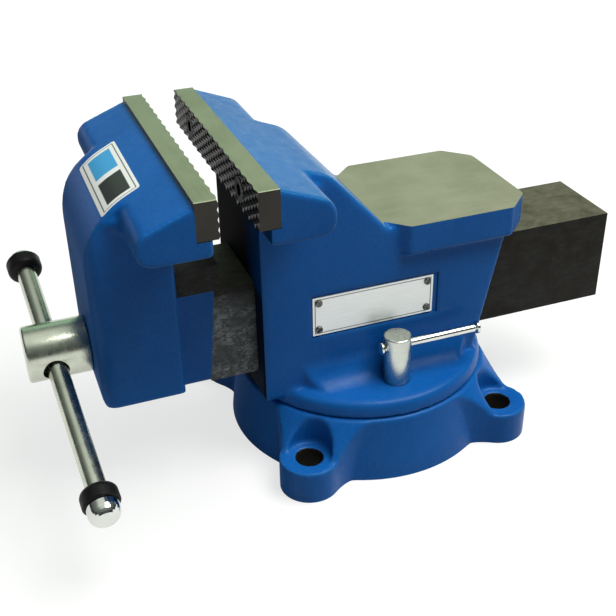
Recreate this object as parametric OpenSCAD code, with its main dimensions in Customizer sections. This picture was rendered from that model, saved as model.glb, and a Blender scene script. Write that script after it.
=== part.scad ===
// Swivel bench vise with 150 mm jaws: bolted base, turning body, sliding jaw on a U-section bar,
// lead screw with its nut, spring and collar, sliding handle, two swivel locks and a blank nameplate.
// Millimetres. The origin is on the swivel axis at the bench. X runs along the jaws, +Y away from
// the handle and +Z up.

/* [Jaws] */
// Length of the jaw plates
jaw_w = 150; // [140:1:160]
// Thickness of each jaw plate
plate_t = 11; // [9:0.5:13]
// Height of each jaw plate
plate_h = 19.5; // [18:0.5:22]
// Gap between the plates as drawn
jaw_gap = 17.5; // [10:0.5:25]
// Height of the plate tops above the bench
jaw_z = 183; // [180:1:188]
// Distance from the swivel axis forward to the fixed plate's gripping face
jaw_reach = 82; // [80:1:86]
// Distance of each plate screw from the middle of the jaw
plate_screw_x = 44.5; // [42:0.5:52]
// Depth of the jaw ears behind their plates
ear_d = 27.5; // [25:0.5:30]
// Downward slope of the jaw tops, away from the plates
top_slope = 21; // [17:1:24]

/* [Slide bar and channel] */
// Width of the slide bar
bar_w = 49.6; // [47:0.2:52]
// Height of the slide bar
bar_h = 54.8; // [52:0.2:56]
// Height of the slide bar's underside above the bench
bar_z = 54.1; // [53:0.1:56]
// Reach of the slide bar behind the swivel axis
bar_rear = 145.7; // [135:1:155]
// Width of the slot along the bar's underside
slot_w = 32.8; // [32:0.2:33.4]
// Clearance round the slide bar
slide_gap = 0.3; // [0.25:0.05:0.5]

/* [Body casting] */
// Width of the body between its side walls
body_w = 76; // [74:1:82]
// Half width of the anvil
anvil_x = 43; // [42:0.5:46]
// Front edge of the anvil, from the swivel axis
anvil_front = -2.3; // [-4:0.1:0]
// Rear edge of the anvil, from the swivel axis
anvil_rear = 84.2; // [80:0.2:88]
// Height of the anvil's face above the bench
anvil_z = 134.4; // [132:0.2:137]
// Depth of the anvil's skirt
anvil_t = 17.5; // [15:0.5:19]

/* [Swivel base] */
// Height of the base under the turntable
base_h = 36.5; // [36:0.5:38]
// Radius of the base wall at the bench
base_r = 77.5; // [76:0.5:79]
// Radius of the circle of bench bolts
bolt_circle_r = 84; // [83:0.5:86]
// Radius of each bench bolt hole
bolt_hole_r = 7.25; // [6:0.25:8]
// Radius of each rounded lug end
lug_r = 16.4; // [15:0.2:18]
// Thickness of each lug at its bolt
lug_h = 19; // [17:0.5:21]
// Angle by which the base is turned under the body as drawn
base_turn = 3.4; // [-10:0.2:10]

/* [Lead screw and handle] */
// Height of the screw axis above the bench
screw_z = 78.4; // [77.6:0.2:79.4]
// Diameter of the screw and of its journal
screw_d = 22; // [20:0.5:22.4]
// Diameter of the screw's head
head_d = 30; // [28:0.5:34]
// Length of the screw's head
head_l = 33; // [32:0.5:38]
// Diameter of the handle bar
handle_d = 10.5; // [9.5:0.1:11]
// Length of the handle over its end caps
handle_l = 182.5; // [178:0.5:240]
// Shift of the handle through the head towards its lower end
handle_shift = 18; // [0:0.2:25]
// Turn of the screw as drawn, lowering the handle's near end
handle_turn = 17.8; // [-30:0.2:30]
// Lean of the loose handle in its hole
handle_lean = 3; // [0:0.25:3.5]

/* [Swivel locks] */
// Distance of each lock bolt from the body's side wall
lock_out = 10.8; // [10.7:0.1:12]
// Diameter of the lock bolt's head at its top
lock_head_d = 15.6; // [14:0.2:16]
// Height of the lock bolt's head
lock_head_h = 28.5; // [27:0.5:32]
// Diameter of the lock lever
lever_d = 5; // [4.5:0.1:5.4]
// Length of the lock lever
lever_l = 59.5; // [56:0.5:64]

/* [Nameplate] */
// Length of the blank nameplate
name_l = 70; // [60:1:72]
// Height of the blank nameplate
name_h = 23; // [20:0.5:24]

/* [Hidden] */
$fn = 64;

paint = [0.10, 0.31, 0.59];
bare_iron = [0.30, 0.30, 0.28];
bright_steel = [0.78, 0.79, 0.80];
tool_steel = [0.45, 0.44, 0.40];
zinc = [0.70, 0.71, 0.68];
rubber = [0.06, 0.06, 0.06];

// Fits: a turning shaft in its bore, a bolt in its tapped hole and a bolt in a plain hole
run_fit = 0.06;
thread_fit = 0.05;
bolt_room = 0.3;
seat_gap = 0.1;
through = 1;

// Jaw faces along Y, and jaw tops
fixed_back = plate_t - jaw_reach;
moving_face = -jaw_reach - jaw_gap;
moving_back = moving_face - plate_t;
fixed_drop = 0.7;
moving_drop = 2.5;
fixed_top = jaw_z - fixed_drop;
moving_top = jaw_z - moving_drop;
ear_h = 28;
ear_low = jaw_z - ear_h;
ear_round = 9.5;
ear_low_round = 7.5;
cove_r = 11;
cove_inset = 2;
cove_drop = 5;
cove_lift = 4;
plate_z = jaw_z - plate_h;
fixed_ledge = 5.3;
moving_ledge = 7.9;
ledge_top = plate_z - seat_gap;
ledge_round = 1.5;
plate_screw_drop = 1.3;
plate_screw_z = jaw_z - plate_h / 2 - plate_screw_drop;

// M8 cap screws of the jaw plates
cap_d = 13;
cap_h = 8;
cap_shank_d = 8;
cap_reach = 7.5;
cap_room = 0.4;
cap_sink = 0.5;
tap_over = 1;
hex_d = 7;
hex_depth = 4.5;

// Slide bar and the channel that it runs in
bar_top = bar_z + bar_h;
floor_z = bar_z - slide_gap;
slot_head_room = 0.7;
slot_top = screw_z + slot_w / 2 + slot_head_room;
slot_front_wall = 16;
bar_root = 20;

// Body outline, from the front face round the neck, anvil and sloped rear wall
half_body = body_w / 2;
table_inset = 6.7;
table_r = base_r - table_inset;
table_h = 9.5;
table_edge = 4;
table_draft = 1.6;
table_top = base_h + table_h;
wall_sink = 5;
wall_low = table_top - wall_sink;
neck_drop = 2;
neck_lap = 2;
neck_round = 18;
neck_share = 0.57;
neck_d = neck_share * (anvil_front - fixed_back);
neck_z = anvil_z - neck_drop;
skirt_z = anvil_z - anvil_t;
overhang = 15.6;
rear_top = anvil_rear - overhang;
rear_mid_lean = 9.8;
rear_mid = rear_top - rear_mid_lean;
rear_lean = 13.5;
rear_low = rear_top - rear_lean;
rear_top_drop = 8;
rear_mid_h = 27.5;
rear_mid_z = base_h + rear_mid_h;
rear_round = 6;
front_round = 2;
wall_cove = 16;
cove_margin = 9;
fillet_sink = 0.4;
front_corner_cut = 12.4;
rear_corner_cut = 13.8;

// Moving jaw: its nose in front of the ears
half_nose = 37;
nose_l = 45.5;
nose_front = moving_back - nose_l;
nose_rise = 5;
nose_low = bar_z + nose_rise;
nose_back_rise = 5;
nose_round = 36;
nose_toe_round = 2;
nose_edge = 7;
cast_clear = 3;
seat_low = 5;
seat_slant = 3;
step_clear = 0.4;
step_d = 2 * plate_t - step_clear;
step_h = 14.6;

// Swivel: the spigot turns in the base's opening, and the shoes hook under its rim
opening_r = 60;
hollow_r = 66.5;
rim_t = 10;
rim_low = base_h - rim_t;
spigot_h = 8.5;
spigot_low = base_h - spigot_h;
swivel_gap = 0.4;
base_top = base_h - seat_gap;
wall_lip = 1;
wall_top_r = table_r + wall_lip;
lug_fillet = 30;
ridge_over = 3;
ridge_r = bolt_circle_r + ridge_over;
pocket_r = 12.3;
ridge_drop = 0.4;
spot_depth = 0.5;

// Swivel locks: head on the turntable, shank down into the shoe
lock_d = 12;
lock_x = half_body + lock_out;
lock_y = 1.3;
lock_draft = 0.5;
lock_spot = 0.5;
lock_seat = table_top - lock_spot;
lock_head_room = 0.8;
lock_edge = 1;
lock_short = 1;
lever_drop = 6.7;
lever_z = lock_head_h - lever_drop;
lever_room = 0.3;
lever_hole_d = lever_d + 2 * lever_room;
lever_end_l = 2;
lever_end_over = 1;
lever_end_d = lever_d + 2 * lever_end_over;
lever_neck_l = 1.2;
lever_neck_cut = 0.7;
lever_neck_d = lever_d - 2 * lever_neck_cut;
lever_clear = 0.2;
lever_back = lock_head_d / 2 + lever_clear;
shoe_gap = 1;
shoe_depth = 22;
shoe_low = base_h - shoe_depth;
shoe_w = 26;
shoe_inner = 11;
shoe_in = lock_x - shoe_inner;
shoe_side = 1;
shoe_out = hollow_r - shoe_side;
tongue_out = opening_r - shoe_side;
tongue_drop = 4.7;
tongue_top = base_h - tongue_drop;
shoe_room = 0.3;
pocket_drop = 3.5;
pocket_top = base_h - pocket_drop;

// Lead screw, from the head at the front to the chamfered rear end
screw_r = screw_d / 2;
head_front = nose_front - seat_gap - head_l;
handle_share = 0.58;
handle_y = nose_front - seat_gap - handle_share * head_l;
handle_room = 1.5;
handle_hole_d = handle_d + 2 * handle_room;
screw_short = 29.7;
screw_rear = bar_rear - screw_short;
screw_chamfer = 3;
head_edge = 1.6;
washer_t = 2;
washer_y = nose_front + slot_front_wall + seat_gap;
collar_l = 8;
spring_room = 17;
collar_y = washer_y + washer_t + spring_room;
collar_gap = 0.5;
collar_r = slot_w / 2 - collar_gap;
pin_d = 4;
pin_short = 0.3;

// Retracting spring between the washer and the collar
spring_wire = 2.4;
spring_r = (screw_r + collar_r) / 2;
spring_turns = 3.5;
spring_from = washer_y + washer_t + spring_wire / 2 + seat_gap;
spring_to = collar_y - spring_wire / 2 - seat_gap;
spring_pitch = (spring_to - spring_from) / spring_turns;
echo(least_spring_gap = spring_pitch - spring_wire);

// Nut block under the screw, bolted up through the body's floor
nut_side = 1.2;
nut_w = slot_w - 2 * nut_side;
nut_setback = 7;
nut_front = fixed_back + nut_setback;
nut_l = 40;
nut_over = 2.5;
nut_top = slot_top - nut_over;
nut_bolt_y = nut_front + nut_l / 2;
nut_bolt_d = 10;
nut_bolt_reach = 11;
nut_head_h = 6.4;
nut_head_d = 17;
nut_washer_t = 1.6;
nut_washer_d = 18.4;
sink_rise = 3.5;
sink_top = base_h + sink_rise;
sink_d = 19.4;

// Handle ends
ring_d = 18.8;
ring_l = 9;
ring_lap = 4.2;
ring_nose = 3.4;
ring_round = 1;
handle_cap_d = 16;
handle_cap_l = 10;
cap_dome = 6.5;
cap_edge = 0.6;
cap_socket = 5;

// Nameplate on the right-hand wall
name_y = -8;
name_rise = 52;
name_z = base_h + name_rise;
name_recess = 1.2;
name_t = 0.8;
recess_front = 0.6;
recess_rear = 3.2;
recess_side = 1;
rivet_d = 2.2;
rivet_head_d = 4.2;
rivet_head_h = 1.1;
rivet_dome = 0.8;
rivet_l = 6;
rivet_inset = 3.4;

function unit(v) = v / norm(v);

// Arc of radius r that rounds the corner p between its neighbours a and b
function corner(p, a, b, r, steps) =
    let (u = unit(a - p), v = unit(b - p))
    let (half = acos(u * v) / 2, mid = p + unit(u + v) * r / sin(half))
    let (from = p + u * r / tan(half) - mid, to = p + v * r / tan(half) - mid)
    let (start = atan2(from[1], from[0]), turn = sign(cross(from, to)) * (180 - 2 * half))
    [for (i = [0:steps]) mid + r * [cos(start + turn * i / steps), sin(start + turn * i / steps)]];

// Outline with each corner rounded by its own radius, or left sharp at 0
function rounded(points, radii, steps = 8) =
    let (n = len(points))
    [for (i = [0:n - 1])
        each radii[i] > 0
            ? corner(points[i], points[(i + n - 1) % n], points[(i + 1) % n], radii[i], steps)
            : [points[i]]];

// Height lost on a jaw top over a distance back from the plate
function drop(d) = d * tan(top_slope);

// Solid from a side-view outline in Y and Z, centred across X
module across(width) {
    rotate([90, 0, 90]) linear_extrude(width, center = true) children();
}

// Solid of revolution about a line along +Y at the screw's height, from an outline in radius and Y
module about_screw() {
    translate([0, 0, screw_z]) rotate([-90, 0, 0]) rotate_extrude() children();
}

// Cylinder along Y at the screw's height
module screw_bore(r, from, to) {
    translate([0, from, screw_z]) rotate([-90, 0, 0]) cylinder(r = r, h = to - from);
}

module both_sides() {
    children();
    mirror([1, 0, 0]) children();
}

// Quarter-round fillet in the corner at the origin, filling +X and +Y
module fillet(r) {
    difference() {
        square(r);
        translate([r, r]) circle(r);
    }
}

// Side outline of a jaw's ears, for a plate back at y = 0 and depth running along +Y, with the ledge
// under the plate
module ear_outline(top, ledge) {
    points = [
        [-ledge, ear_low], [-ledge, ledge_top], [0, ledge_top], [0, top],
        [ear_d, top - drop(ear_d)], [ear_d, ear_low]
    ];
    polygon(rounded(points, [ledge_round, ledge_round, 0, 0, ear_round, ear_low_round]));
}

// Ears of a jaw with the fillets under them and behind them, on a neck of the given half width
module ears(top, half_width, ledge) {
    across(jaw_w) ear_outline(top, ledge);
    both_sides() {
        translate([half_width, 0, ear_low])
            rotate([-90, 0, 0]) linear_extrude(ear_d - ear_round) fillet(cove_r);
        intersection() {
            translate([half_width, ear_d - 1, ear_low]) linear_extrude(jaw_z) fillet(cove_r);
            across(4 * half_width) polygon([
                [0, ear_low + cove_lift], [0, top - cove_drop],
                [ear_d - cove_inset, top - drop(ear_d) - cove_drop],
                [ear_d + cove_r, top - drop(ear_d + cove_r) - cove_drop],
                [ear_d + cove_r, ear_low + cove_lift]
            ]);
        }
    }
}

// Side outline of the body's middle, with the neck down to the anvil and the sloped rear wall
module body_outline() {
    points = [
        [fixed_back, wall_low], [fixed_back, fixed_top], [fixed_back + neck_d, fixed_top - drop(neck_d)],
        [anvil_front + neck_lap, neck_z], [anvil_rear - rear_corner_cut, neck_z],
        [anvil_rear - rear_corner_cut, skirt_z], [rear_top, skirt_z - rear_top_drop],
        [rear_mid, rear_mid_z], [rear_low, table_top], [rear_low, wall_low]
    ];
    polygon(rounded(points, [front_round, 0, neck_round, 0, 0, 0, rear_round, 0, 0, 0]));
}

module anvil_outline() {
    polygon([
        [-anvil_x + front_corner_cut, anvil_front], [anvil_x - front_corner_cut, anvil_front],
        [anvil_x, anvil_front + front_corner_cut], [anvil_x, anvil_rear - rear_corner_cut],
        [anvil_x - rear_corner_cut, anvil_rear], [-anvil_x + rear_corner_cut, anvil_rear],
        [-anvil_x, anvil_rear - rear_corner_cut], [-anvil_x, anvil_front + front_corner_cut]
    ]);
}

// Turntable disc with a rounded upper edge
module turntable() {
    points = [[0, base_h], [table_r, base_h], [table_r - table_draft, table_top], [0, table_top]];
    rotate_extrude() polygon(rounded(points, [0, 0, table_edge, 0]));
    translate([0, 0, spigot_low]) cylinder(r = opening_r - swivel_gap, h = spigot_h + through);
}

// Fillets between the side walls and the turntable
module wall_fillets() {
    intersection() {
        both_sides() translate([half_body, table_r, table_top - fillet_sink])
            rotate([90, 0, 0]) linear_extrude(2 * table_r) fillet(wall_cove);
        translate([0, 0, table_top - through]) cylinder(r = table_r - cove_margin, h = wall_cove + through);
    }
}

// Places both screws of a jaw plate, drawn with the head at +Y
module at_plate_screws() {
    for (x = [-plate_screw_x, plate_screw_x]) translate([x, 0, plate_screw_z]) children();
}

// Tapped hole for one plate screw, from the plate's back at y = 0 along +Y
module plate_screw_hole() {
    rotate([-90, 0, 0]) translate([0, 0, -through])
        cylinder(d = cap_shank_d + 2 * thread_fit, h = cap_reach + tap_over + through);
}

// Jaw plate with its back at y = 0 and its face at -plate_t, counterbored for two cap screws
module jaw_plate() {
    color(tool_steel) difference() {
        translate([-jaw_w / 2, -plate_t, plate_z]) cube([jaw_w, plate_t, plate_h]);
        at_plate_screws() rotate([90, 0, 0]) {
            translate([0, 0, -through])
                cylinder(d = cap_shank_d + 2 * bolt_room, h = plate_t + 2 * through);
            translate([0, 0, plate_t - cap_h - cap_sink])
                cylinder(d = cap_d + 2 * cap_room, h = cap_h + cap_sink + through);
        }
    }
}

// Two socket cap screws for a plate whose back is at y = 0
module plate_screws() {
    shank = cap_reach + plate_t - cap_h - cap_sink;
    color(tool_steel) at_plate_screws() rotate([90, 0, 0]) translate([0, 0, plate_t - cap_h - cap_sink])
        difference() {
            union() {
                cylinder(d = cap_d, h = cap_h);
                translate([0, 0, -shank]) cylinder(d = cap_shank_d, h = shank + through);
            }
            translate([0, 0, cap_h - hex_depth])
                cylinder(d = hex_d, h = hex_depth + through, $fn = 6);
        }
}

module swivel_base() {
    color(paint) rotate([0, 0, base_turn]) difference() {
        union() {
            cylinder(r1 = base_r, r2 = wall_top_r, h = base_top);
            intersection() {
                linear_extrude(base_top - ridge_drop) base_lugs();
                rotate_extrude() polygon([
                    [0, -through], [bolt_circle_r + lug_r + through, -through],
                    [bolt_circle_r + lug_r + through, lug_h], [ridge_r, lug_h],
                    [wall_top_r, base_top], [0, base_top]
                ]);
            }
        }
        at_lugs() {
            translate([0, 0, -through]) cylinder(r = bolt_hole_r, h = base_h);
            translate([0, 0, lug_h - spot_depth]) cylinder(r = pocket_r, h = base_h);
        }
        translate([0, 0, -through]) cylinder(r = opening_r, h = base_h + 2 * through);
        translate([0, 0, -through]) cylinder(r = hollow_r, h = rim_low + through);
    }
}

// The four bench bolt positions
module at_lugs() {
    for (a = [45:90:315]) rotate([0, 0, a]) translate([bolt_circle_r, 0, 0]) children();
}

// Arc of points round a centre, from one angle to another
function arc(centre, r, from, to, steps = 8) =
    [for (i = [0:steps]) let (a = from + (to - from) * i / steps) centre + r * [cos(a), sin(a)]];

// Edge of one lug on +X: concave fillet, round end, concave fillet
function lug_edge() =
    let (wall = wall_top_r + lug_fillet, end = lug_r + lug_fillet, out = bolt_circle_r)
    let (spread = acos((wall * wall + out * out - end * end) / (2 * wall * out)))
    let (centre = wall * [cos(spread), sin(spread)])
    let (at_wall = 180 + spread, at_end = atan2(-centre[1], out - centre[0]) + 360)
    concat(
        [for (p = arc(centre, lug_fillet, at_wall, at_end)) [p[0], -p[1]]],
        arc([out, 0], lug_r, 180 - at_end, at_end - 180, 16),
        arc(centre, lug_fillet, at_end, at_wall)
    );

// Plan of the base through its four lugs
module base_lugs() {
    polygon([for (a = [45:90:315]) for (p = lug_edge())
        [p[0] * cos(a) - p[1] * sin(a), p[0] * sin(a) + p[1] * cos(a)]]);
}

module vise_body() {
    color(paint) difference() {
        union() {
            turntable();
            wall_fillets();
            across(body_w) body_outline();
            translate([0, fixed_back, 0]) ears(fixed_top, half_body, fixed_ledge);
            translate([0, 0, skirt_z]) linear_extrude(anvil_t) anvil_outline();
        }
        translate([-bar_w / 2 - slide_gap, fixed_back - through, floor_z])
            cube([bar_w + 2 * slide_gap, anvil_rear - fixed_back, bar_h + 2 * slide_gap]);
        translate([0, fixed_back, 0]) at_plate_screws() plate_screw_hole();
        translate([0, nut_bolt_y, spigot_low - through]) {
            cylinder(d = nut_bolt_d + 2 * bolt_room, h = base_h);
            cylinder(d = sink_d, h = sink_top - spigot_low + through);
        }
        for (a = [0, 180]) rotate([0, 0, a]) lock_cuts();
        nameplate_cuts();
    }
}

// Hole for a lock bolt, its spot face and the slot that keeps its shoe from turning
module lock_cuts() {
    translate([lock_x, lock_y, spigot_low - through])
        cylinder(d = lock_d + 2 * bolt_room, h = table_top);
    translate([lock_x, lock_y, lock_seat])
        cylinder(d = lock_head_d + 2 * lock_head_room, h = lock_head_h);
    translate([shoe_in - shoe_room, lock_y - shoe_w / 2 - shoe_room, spigot_low - through])
        cube([opening_r - shoe_in + shoe_room, shoe_w + 2 * shoe_room, pocket_top - spigot_low + through]);
}

// Places the four rivets on the right-hand wall, with their axes along +X
module at_rivets() {
    for (y = [-1, 1], z = [-1, 1])
        translate([
            half_body - name_recess + name_t,
            name_y + y * (name_l / 2 - rivet_inset),
            name_z + z * (name_h / 2 - rivet_inset)
        ]) rotate([0, 90, 0]) children();
}

module nameplate_cuts() {
    length = name_l + recess_front + recess_rear;
    translate([
        half_body - name_recess, name_y - name_l / 2 - recess_front, name_z - name_h / 2 - recess_side
    ]) cube([name_recess + through, length, name_h + 2 * recess_side]);
    at_rivets() translate([0, 0, -rivet_l - tap_over])
        cylinder(d = rivet_d + 2 * thread_fit, h = rivet_l + tap_over);
}

module fixed_jaw_plate() {
    translate([0, fixed_back, 0]) jaw_plate();
}

module fixed_jaw_screws() {
    translate([0, fixed_back, 0]) plate_screws();
}

module main_nut() {
    color(bare_iron) difference() {
        translate([-nut_w / 2, nut_front, floor_z]) cube([nut_w, nut_l, nut_top - floor_z]);
        screw_bore(screw_r + run_fit, nut_front - through, nut_front + nut_l + through);
        translate([0, nut_bolt_y, floor_z - through])
            cylinder(d = nut_bolt_d + 2 * thread_fit, h = nut_bolt_reach + 2 * through);
    }
}

module nut_bolt() {
    head_top = sink_top - nut_washer_t;
    color(zinc) translate([0, nut_bolt_y, head_top - nut_head_h]) {
        cylinder(d = nut_head_d, h = nut_head_h, $fn = 6);
        cylinder(d = nut_bolt_d, h = floor_z + nut_bolt_reach - head_top + nut_head_h);
    }
}

module nut_bolt_washer() {
    color(zinc) translate([0, nut_bolt_y, sink_top - nut_washer_t]) difference() {
        cylinder(d = nut_washer_d, h = nut_washer_t);
        translate([0, 0, -through])
            cylinder(d = nut_bolt_d + 2 * bolt_room, h = nut_washer_t + 2 * through);
    }
}

module nameplate() {
    color(bright_steel) difference() {
        translate([half_body - name_recess, name_y - name_l / 2, name_z - name_h / 2])
            cube([name_t, name_l, name_h]);
        at_rivets() translate([0, 0, -name_t - through])
            cylinder(d = rivet_d + 2 * thread_fit, h = name_t + 2 * through);
    }
}

// Drive rivets with low domed heads
module nameplate_rivets() {
    head_r = rivet_head_d / 2;
    points = [
        [0, -rivet_l], [rivet_d / 2, -rivet_l], [rivet_d / 2, 0], [head_r, 0],
        [head_r, rivet_head_h], [0, rivet_head_h]
    ];
    color(zinc) at_rivets() rotate_extrude() polygon(rounded(points, [0, 0, 0, 0, rivet_dome, 0], 4));
}

// Side outline of the moving jaw's nose, with its curved brow
module nose_outline() {
    cast_back = moving_back - cast_clear;
    points = [
        [cast_back, bar_z + nose_back_rise], [cast_back, ear_low - seat_low - seat_slant],
        [moving_back, ear_low - seat_low], [moving_back, moving_top],
        [nose_front, moving_top - drop(nose_l)], [nose_front, nose_low]
    ];
    polygon(rounded(points, [0, 0, 0, 0, nose_round, nose_toe_round], 12));
}

module nose_plan() {
    points = [
        [-half_nose, moving_back], [-half_nose, nose_front], [half_nose, nose_front],
        [half_nose, moving_back]
    ];
    polygon(rounded(points, [0, nose_edge, nose_edge, 0]));
}

module moving_jaw() {
    slot_front = nose_front + slot_front_wall;
    color(paint) difference() {
        union() {
            intersection() {
                across(body_w) nose_outline();
                linear_extrude(jaw_z) nose_plan();
            }
            translate([0, moving_back, 0]) mirror([0, 1, 0]) ears(moving_top, half_nose, moving_ledge);
            translate([-bar_w / 2, moving_back - bar_root, bar_z])
                cube([bar_w, bar_rear - moving_back + bar_root, bar_h]);
            translate([-bar_w / 2, moving_back - through, bar_top - through])
                cube([bar_w, step_d + through, step_h + through]);
        }
        translate([-slot_w / 2, slot_front, bar_z - through])
            cube([slot_w, bar_rear - slot_front + through, slot_top - bar_z + through]);
        screw_bore(screw_r + run_fit, nose_front - through, slot_front + through);
        translate([0, moving_back, 0]) mirror([0, 1, 0]) at_plate_screws() plate_screw_hole();
    }
}

module moving_jaw_plate() {
    translate([0, moving_back, 0]) mirror([0, 1, 0]) jaw_plate();
}

module moving_jaw_screws() {
    translate([0, moving_back, 0]) mirror([0, 1, 0]) plate_screws();
}

module spring_washer() {
    color(zinc) difference() {
        screw_bore(collar_r, washer_y, washer_y + washer_t);
        screw_bore(screw_r + bolt_room, washer_y - through, washer_y + washer_t + through);
    }
}

module lead_screw() {
    head_r = head_d / 2;
    neck_y = nose_front - seat_gap;
    points = [
        [0, head_front], [head_r, head_front], [head_r, neck_y], [screw_r, neck_y],
        [screw_r, screw_rear - screw_chamfer], [screw_r - screw_chamfer, screw_rear], [0, screw_rear]
    ];
    color(bright_steel) difference() {
        about_screw() polygon(rounded(points, [0, head_edge, head_edge / 2, 0, 0, 0, 0], 4));
        translate([0, handle_y, screw_z]) rotate([0, 90 + handle_turn, 0])
            cylinder(d = handle_hole_d, h = head_d + 2 * through, center = true);
        pin_hole();
    }
}

// Cross hole for the collar's pin
module pin_hole() {
    translate([0, collar_y + collar_l / 2, screw_z])
        rotate([0, handle_turn, 0]) cylinder(d = pin_d + 2 * thread_fit, h = 3 * collar_r, center = true);
}

// Centre of the spring's wire at an angle along it
function spring_at(angle) = [
    spring_r * cos(angle), spring_from + spring_pitch * angle / 360, screw_z + spring_r * sin(angle)
];

// Ring of points round the wire at an angle along the spring
function spring_ring(angle, sides) =
    let (out = [cos(angle), 0, sin(angle)], run = spring_pitch / (2 * PI * spring_r))
    let (side = unit([run * sin(angle), 1, -run * cos(angle)]))
    [for (k = [0:sides - 1])
        spring_at(angle) + spring_wire / 2 * (out * cos(360 * k / sides) + side * sin(360 * k / sides))];

module retract_spring() {
    sides = 6;
    rings = 8 * spring_turns;
    points = [for (i = [0:rings]) each spring_ring(45 * i, sides)];
    faces = [
        [for (k = [0:sides - 1]) k],
        [for (k = [sides - 1:-1:0]) rings * sides + k],
        for (i = [0:rings - 1], k = [0:sides - 1])
            let (a = i * sides + k, b = i * sides + (k + 1) % sides)
            each [[a, b + sides, b], [a, a + sides, b + sides]]
    ];
    color(bare_iron) polyhedron(points, faces);
}

module screw_collar() {
    color(zinc) difference() {
        screw_bore(collar_r, collar_y, collar_y + collar_l);
        screw_bore(screw_r + thread_fit, collar_y - through, collar_y + collar_l + through);
        pin_hole();
    }
}

module collar_pin() {
    color(bright_steel) translate([0, collar_y + collar_l / 2, screw_z])
        rotate([0, handle_turn, 0]) cylinder(d = pin_d, h = 2 * (collar_r - pin_short), center = true);
}

// Puts +Z along the handle, towards its near end, with the origin in the middle of the handle
module on_handle() {
    translate([0, handle_y, screw_z]) rotate([0, handle_turn, 0]) rotate([0, 0, handle_lean])
        rotate([0, 90, 0]) translate([0, 0, handle_shift]) children();
}

module handle_bar() {
    bar = handle_l - 2 * (handle_cap_l - cap_socket);
    color(bright_steel) on_handle() cylinder(d = handle_d, h = bar, center = true);
}

// Rubber ring that stops against the screw's head, pushed over its end cap by a lap
module handle_ring(toward, lap) {
    at = toward * (handle_l / 2 - handle_cap_l - ring_l + lap);
    inner = handle_d / 2 + thread_fit;
    seat = handle_cap_d / 2 + thread_fit;
    points = [
        [inner, 0], [ring_d / 2, 0], [ring_d / 2, ring_l], [seat, ring_l],
        [seat, ring_l - ring_lap], [inner, ring_l - ring_lap]
    ];
    color(rubber) on_handle() translate([0, 0, at]) mirror([0, 0, toward < 0 ? 1 : 0])
        rotate_extrude() polygon(rounded(points, [0, ring_nose, ring_round, 0, 0, 0], 6));
}

// Domed end cap with a blind socket for the bar
module handle_cap(toward) {
    r = handle_cap_d / 2;
    at = toward * (handle_l / 2 - handle_cap_l);
    points = [[0, 0], [r, 0], [r, handle_cap_l], [0, handle_cap_l]];
    color(bright_steel) on_handle() translate([0, 0, at]) mirror([0, 0, toward < 0 ? 1 : 0])
        difference() {
            rotate_extrude() polygon(rounded(points, [0, cap_edge, cap_dome, 0]));
            translate([0, 0, -through])
                cylinder(d = handle_d + 2 * thread_fit, h = cap_socket + through + seat_gap);
        }
}

module handle_ring_near() { handle_ring(1, 0); }
module handle_ring_far() { handle_ring(-1, ring_lap - seat_gap); }
module handle_cap_near() { handle_cap(1); }
module handle_cap_far() { handle_cap(-1); }

// Lock bolt: tall round head with a cross hole for its lever
module lock_bolt() {
    head_r = lock_head_d / 2;
    shank = lock_seat - shoe_low - lock_short;
    points = [
        [0, -shank], [lock_d / 2, -shank], [lock_d / 2, 0], [head_r - lock_draft, 0],
        [head_r, lock_head_h], [0, lock_head_h]
    ];
    color(zinc) translate([lock_x, lock_y, lock_seat + seat_gap]) difference() {
        rotate_extrude() polygon(rounded(points, [0, lock_edge, 0, 0, lock_edge, 0], 4));
        translate([0, 0, lever_z]) rotate([90, 0, 0])
            cylinder(d = lever_hole_d, h = lock_head_d + 2 * through, center = true);
    }
}

// Lock lever: a rod with a flared end by the bolt and a necked button at its long end
module lock_lever() {
    tip = lever_l - lever_back - lever_end_l;
    button = tip - lever_end_l;
    neck = button - lever_neck_l;
    edge = lever_end_over / 2;
    points = [
        [0, -lever_back - lever_end_l], [lever_end_d / 2, -lever_back - lever_end_l],
        [lever_end_d / 2, -lever_back - lever_end_over], [lever_d / 2, -lever_back],
        [lever_d / 2, neck], [lever_neck_d / 2, neck], [lever_neck_d / 2, button],
        [lever_end_d / 2, button], [lever_end_d / 2, tip], [0, tip]
    ];
    color(bright_steel) translate([lock_x, lock_y, lock_seat + seat_gap + lever_z])
        rotate([-90, 0, 0]) rotate_extrude()
            polygon(rounded(points, [0, edge, 0, 0, 0, 0, 0, edge, edge, 0], 4));
}

// Lock shoe: hooks under the base's rim, with a tongue in the spigot's slot
module lock_shoe() {
    hook_top = rim_low - shoe_gap;
    color(bare_iron) difference() {
        union() {
            intersection() {
                translate([shoe_in, lock_y - shoe_w / 2, shoe_low])
                    cube([hollow_r - shoe_in, shoe_w, hook_top - shoe_low]);
                cylinder(r = shoe_out, h = base_h);
            }
            intersection() {
                translate([shoe_in, lock_y - shoe_w / 2, hook_top - through])
                    cube([opening_r - shoe_in, shoe_w, tongue_top - hook_top + through]);
                cylinder(r = tongue_out, h = base_h);
            }
        }
        translate([lock_x, lock_y, shoe_low - through])
            cylinder(d = lock_d + 2 * thread_fit, h = base_h);
    }
}

module lock_bolt_right() { lock_bolt(); }
module lock_lever_right() { lock_lever(); }
module lock_shoe_right() { lock_shoe(); }
module lock_bolt_left() { rotate([0, 0, 180]) lock_bolt(); }
module lock_lever_left() { rotate([0, 0, 180]) lock_lever(); }
module lock_shoe_left() { rotate([0, 0, 180]) lock_shoe(); }

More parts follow.
